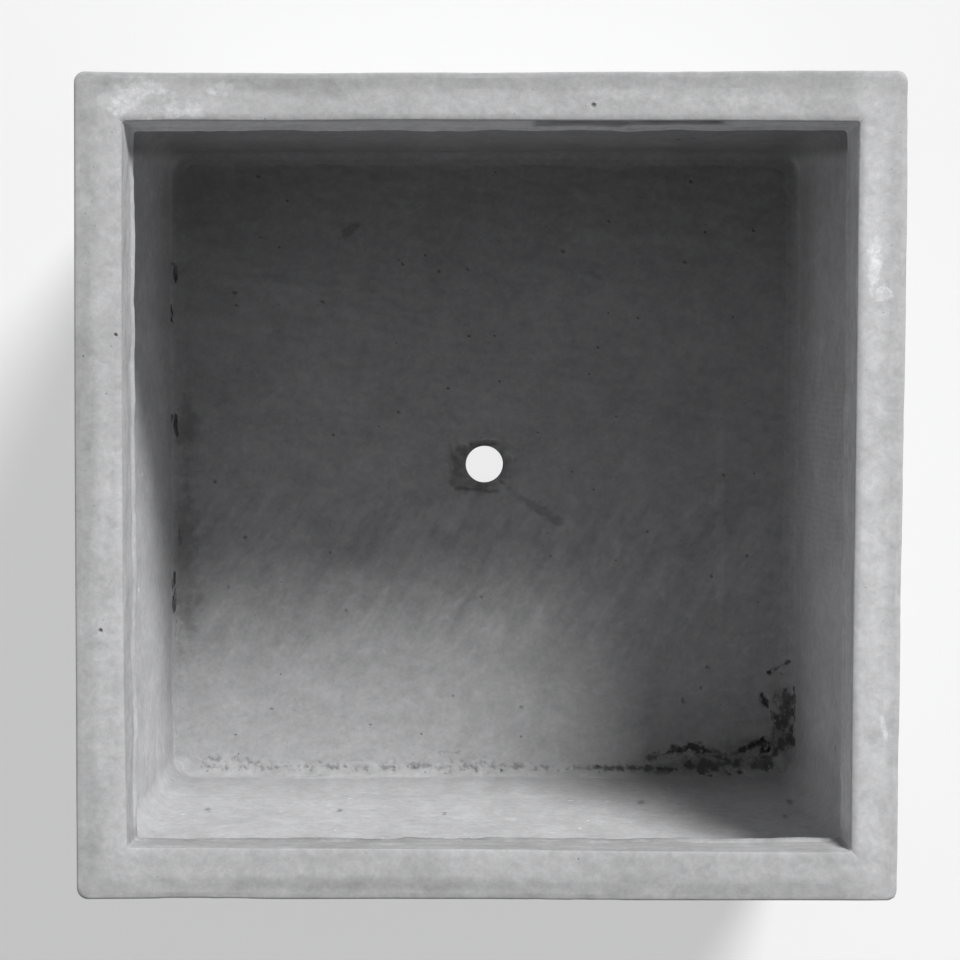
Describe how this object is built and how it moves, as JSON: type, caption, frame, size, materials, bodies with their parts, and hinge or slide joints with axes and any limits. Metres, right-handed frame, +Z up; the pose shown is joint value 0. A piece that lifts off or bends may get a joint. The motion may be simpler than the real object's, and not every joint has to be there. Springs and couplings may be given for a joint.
{
  "type": "cube planter",
  "caption": "Square fibre-cement planter with gently tapered sides, a deep flat rim that overhangs the thin walls inside, an open top and a central drain hole.",
  "frame": {"origin": "middle of the underside, on the axis of the drain hole", "axes": "+Z up along the planter's axis, +X to the right side, +Y to the back"},
  "size_m": [0.3998, 0.3998, 0.4],
  "materials": {
    "face_coat": "smooth cast fibre cement, matt, a little darker than the rest",
    "backing": "hand-laid fibre cement, matt, with pinholes and tool marks",
    "rim": "trowelled fibre cement, matt, with pale scuffs",
    "floor": "trowelled fibre cement, matt, with swirls and small pits",
    "cove": "coarse pressed mortar, matt, with voids"
  },
  "bodies": {
    "root": {"outer_face_coat": "face_coat", "floor_slab": "floor", "backing_front": "backing", "backing_back": "backing", "backing_left": "backing", "backing_right": "backing", "rim_ring": "rim", "floor_cove": "cove"}
  },
  "joints": []
}
